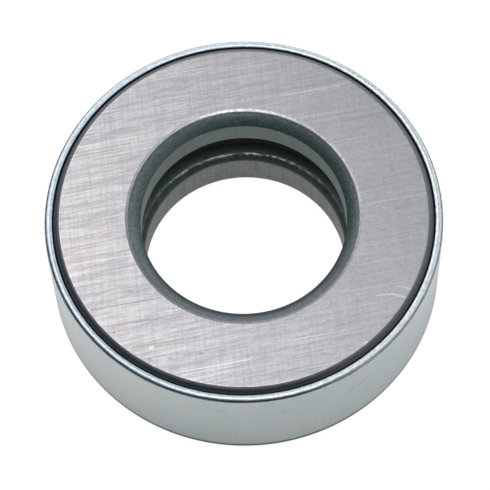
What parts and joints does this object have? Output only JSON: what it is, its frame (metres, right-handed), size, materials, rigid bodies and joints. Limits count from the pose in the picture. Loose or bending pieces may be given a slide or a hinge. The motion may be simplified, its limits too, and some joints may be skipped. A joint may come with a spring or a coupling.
{
  "type": "banded thrust ball bearing",
  "caption": "Thrust ball bearing: two grooved steel ring washers with a caged row of balls between them, held together by a thin steel band with a lip over the turning washer.",
  "frame": {"origin": "centre of the bottom face that the bearing stands on", "axes": "+Z along the bearing's axis, towards the ground face of the washer that turns; +X and +Y across it, with the first ball on +X"},
  "size_m": [0.0492, 0.0492, 0.0164],
  "materials": {
    "ground_washer": "ground on the face, dark heat-treated skin on the corners",
    "lower_washer": "satin, heat treated",
    "band": "smooth satin plated",
    "cage": "dark oxide",
    "balls": "polished"
  },
  "bodies": {
    "housing": {"lower_washer": "lower_washer", "outer_band": "band"},
    "shaft_side": {"upper_washer": "ground_washer"},
    "cage": {"ball_cage": "cage"},
    "ball_01": {"ball_01": "balls"},
    "ball_02": {"ball_02": "balls"},
    "ball_03": {"ball_03": "balls"},
    "ball_04": {"ball_04": "balls"},
    "ball_05": {"ball_05": "balls"},
    "ball_06": {"ball_06": "balls"},
    "ball_07": {"ball_07": "balls"},
    "ball_08": {"ball_08": "balls"},
    "ball_09": {"ball_09": "balls"},
    "ball_10": {"ball_10": "balls"},
    "ball_11": {"ball_11": "balls"},
    "ball_12": {"ball_12": "balls"},
    "ball_13": {"ball_13": "balls"},
    "ball_14": {"ball_14": "balls"}
  },
  "joints": [
    {"name": "washer_spin", "type": "hinge", "parent": "housing", "child": "shaft_side", "pos_m": [0, 0, 0.01644], "axis": [0, 0, 1], "continuous": true},
    {"name": "cage_orbit", "type": "hinge", "parent": "housing", "child": "cage", "pos_m": [0, 0, 0.0091], "axis": [0, 0, 1], "continuous": true},
    {"name": "ball_01_spin", "type": "hinge", "parent": "cage", "child": "ball_01", "pos_m": [0.01835, 0, 0.0091], "axis": [1, 0, 0], "continuous": true},
    {"name": "ball_02_spin", "type": "hinge", "parent": "cage", "child": "ball_02", "pos_m": [0.01653, 0.00796, 0.0091], "axis": [0.901, 0.4339, 0], "continuous": true},
    {"name": "ball_03_spin", "type": "hinge", "parent": "cage", "child": "ball_03", "pos_m": [0.01144, 0.01435, 0.0091], "axis": [0.6235, 0.7818, 0], "continuous": true},
    {"name": "ball_04_spin", "type": "hinge", "parent": "cage", "child": "ball_04", "pos_m": [0.00408, 0.01789, 0.0091], "axis": [0.2225, 0.9749, 0], "continuous": true},
    {"name": "ball_05_spin", "type": "hinge", "parent": "cage", "child": "ball_05", "pos_m": [-0.00408, 0.01789, 0.0091], "axis": [-0.2225, 0.9749, 0], "continuous": true},
    {"name": "ball_06_spin", "type": "hinge", "parent": "cage", "child": "ball_06", "pos_m": [-0.01144, 0.01435, 0.0091], "axis": [-0.6235, 0.7818, 0], "continuous": true},
    {"name": "ball_07_spin", "type": "hinge", "parent": "cage", "child": "ball_07", "pos_m": [-0.01653, 0.00796, 0.0091], "axis": [-0.901, 0.4339, 0], "continuous": true},
    {"name": "ball_08_spin", "type": "hinge", "parent": "cage", "child": "ball_08", "pos_m": [-0.01835, 0, 0.0091], "axis": [-1, 0, 0], "continuous": true},
    {"name": "ball_09_spin", "type": "hinge", "parent": "cage", "child": "ball_09", "pos_m": [-0.01653, -0.00796, 0.0091], "axis": [-0.901, -0.4339, 0], "continuous": true},
    {"name": "ball_10_spin", "type": "hinge", "parent": "cage", "child": "ball_10", "pos_m": [-0.01144, -0.01435, 0.0091], "axis": [-0.6235, -0.7818, 0], "continuous": true},
    {"name": "ball_11_spin", "type": "hinge", "parent": "cage", "child": "ball_11", "pos_m": [-0.00408, -0.01789, 0.0091], "axis": [-0.2225, -0.9749, 0], "continuous": true},
    {"name": "ball_12_spin", "type": "hinge", "parent": "cage", "child": "ball_12", "pos_m": [0.00408, -0.01789, 0.0091], "axis": [0.2225, -0.9749, 0], "continuous": true},
    {"name": "ball_13_spin", "type": "hinge", "parent": "cage", "child": "ball_13", "pos_m": [0.01144, -0.01435, 0.0091], "axis": [0.6235, -0.7818, 0], "continuous": true},
    {"name": "ball_14_spin", "type": "hinge", "parent": "cage", "child": "ball_14", "pos_m": [0.01653, -0.00796, 0.0091], "axis": [0.901, -0.4339, 0], "continuous": true}
  ],
  "couplings": [
    {"joint": "cage_orbit", "follows": "washer_spin", "ratio": 0.5},
    {"joint": "ball_01_spin", "follows": "washer_spin", "ratio": -2.5686},
    {"joint": "ball_02_spin", "follows": "washer_spin", "ratio": -2.5686},
    {"joint": "ball_03_spin", "follows": "washer_spin", "ratio": -2.5686},
    {"joint": "ball_04_spin", "follows": "washer_spin", "ratio": -2.5686},
    {"joint": "ball_05_spin", "follows": "washer_spin", "ratio": -2.5686},
    {"joint": "ball_06_spin", "follows": "washer_spin", "ratio": -2.5686},
    {"joint": "ball_07_spin", "follows": "washer_spin", "ratio": -2.5686},
    {"joint": "ball_08_spin", "follows": "washer_spin", "ratio": -2.5686},
    {"joint": "ball_09_spin", "follows": "washer_spin", "ratio": -2.5686},
    {"joint": "ball_10_spin", "follows": "washer_spin", "ratio": -2.5686},
    {"joint": "ball_11_spin", "follows": "washer_spin", "ratio": -2.5686},
    {"joint": "ball_12_spin", "follows": "washer_spin", "ratio": -2.5686},
    {"joint": "ball_13_spin", "follows": "washer_spin", "ratio": -2.5686},
    {"joint": "ball_14_spin", "follows": "washer_spin", "ratio": -2.5686}
  ]
}
